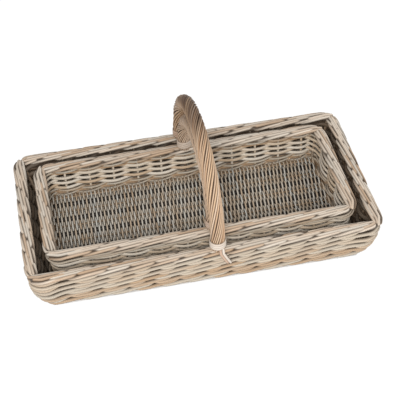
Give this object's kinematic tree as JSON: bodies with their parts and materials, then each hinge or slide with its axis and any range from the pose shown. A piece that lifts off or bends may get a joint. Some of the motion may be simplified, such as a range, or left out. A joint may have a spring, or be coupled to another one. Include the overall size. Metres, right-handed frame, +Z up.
{
  "type": "trug garden basket",
  "caption": "Nested rectangular woven willow garden trugs with flared sides, rolled rod borders and fixed roped hoop handles, the small trug standing loose inside the large one.",
  "frame": {"origin": "on the ground under the middle of the large trug", "axes": "+X along the trugs, +Y from front to back, +Z up"},
  "size_m": [0.62, 0.3306, 0.2652],
  "materials": {
    "wall_willow": "weathered, matt",
    "border_willow": "weathered, matt",
    "base_willow": "weathered grey-brown, matt",
    "handle_willow": "buff brown, matt",
    "pale_cane": "pale, matt"
  },
  "bodies": {
    "large_trug": {"large_back_collar": "pale_cane", "large_back_weave": "wall_willow", "large_base_sticks": "base_willow", "large_base_weave": "base_willow", "large_border_inner": "border_willow", "large_border_outer": "border_willow", "large_border_top": "border_willow", "large_collar_tails": "pale_cane", "large_corner_posts": "wall_willow", "large_corner_weave": "wall_willow", "large_foot_ring": "base_willow", "large_front_collar": "pale_cane", "large_front_weave": "wall_willow", "large_handle_bow": "handle_willow", "large_handle_strands": "handle_willow", "large_left_weave": "wall_willow", "large_right_weave": "wall_willow", "large_side_stakes": "wall_willow", "large_top_wale": "wall_willow", "large_upsett": "wall_willow"},
    "small_trug": {"small_back_collar": "pale_cane", "small_back_weave": "wall_willow", "small_base_sticks": "base_willow", "small_base_weave": "base_willow", "small_border_inner": "border_willow", "small_border_outer": "border_willow", "small_border_top": "border_willow", "small_collar_tails": "pale_cane", "small_corner_posts": "wall_willow", "small_corner_weave": "wall_willow", "small_foot_ring": "base_willow", "small_front_collar": "pale_cane", "small_front_weave": "wall_willow", "small_handle_bow": "handle_willow", "small_handle_strands": "handle_willow", "small_left_weave": "wall_willow", "small_right_weave": "wall_willow", "small_side_stakes": "wall_willow", "small_top_wale": "wall_willow", "small_upsett": "wall_willow"}
  },
  "joints": [
    {"name": "small_trug_lift", "type": "slide", "parent": "large_trug", "child": "small_trug", "axis": [0, 0, 1], "range_m": [0, 0.006]}
  ]
}
